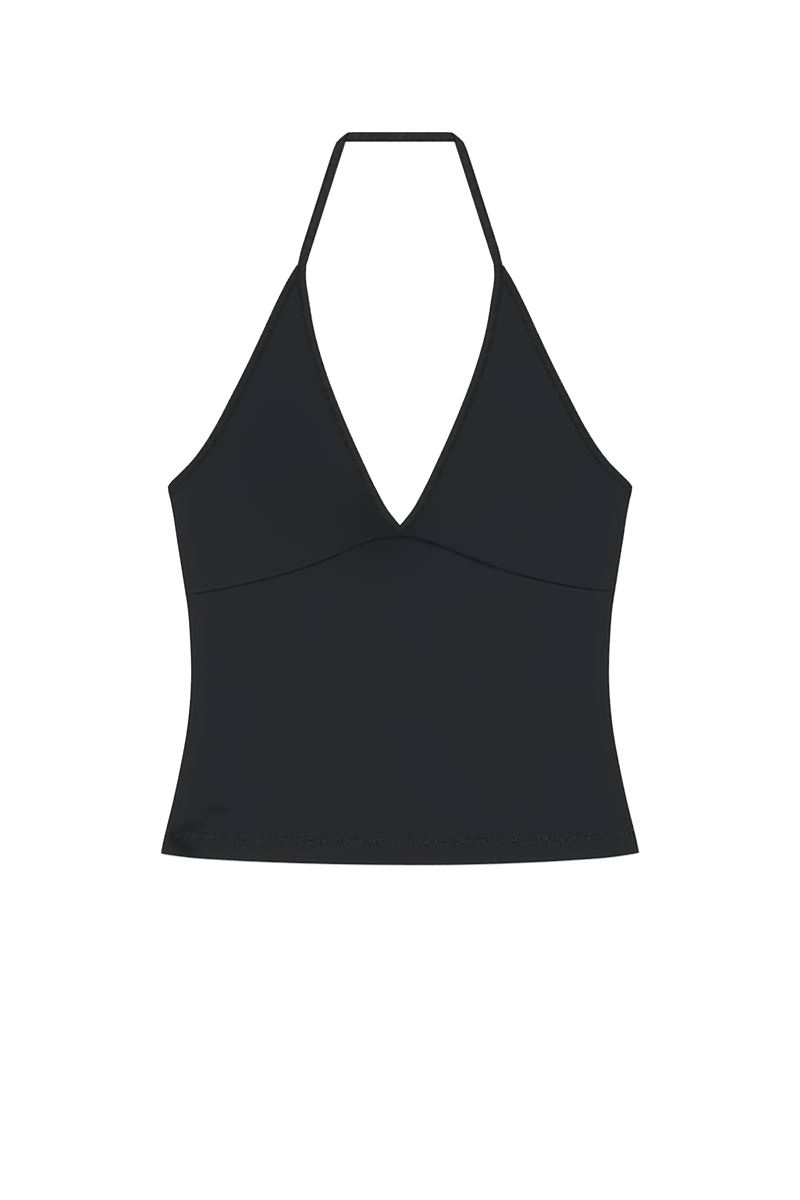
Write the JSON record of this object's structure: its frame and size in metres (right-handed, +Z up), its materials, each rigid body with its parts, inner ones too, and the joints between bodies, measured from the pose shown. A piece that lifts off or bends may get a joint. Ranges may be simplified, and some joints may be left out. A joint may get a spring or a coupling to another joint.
{
  "type": "halter neck top",
  "caption": "Sleeveless halter neck top in plain stretch jersey, laid flat: deep V neck, triangular cups, underbust seam, shaped waist, scooped back and a narrow strap that runs round the neck.",
  "frame": {"origin": "on the surface that the top lies on, below the middle of its outline", "axes": "+Y from the hem to the neck, +X to the right as the front is seen, +Z up, out of the front"},
  "size_m": [0.3919, 0.6008, 0.0037],
  "materials": {
    "jersey": "matt",
    "binding": "matt"
  },
  "bodies": {
    "root": {"back_panel": "jersey", "front_body": "jersey", "cup_left": "jersey", "cup_right": "jersey", "neck_binding_left": "binding", "neck_binding_right": "binding", "neck_strap": "binding", "armhole_binding_left": "binding", "armhole_binding_right": "binding", "back_binding": "binding"}
  },
  "joints": []
}
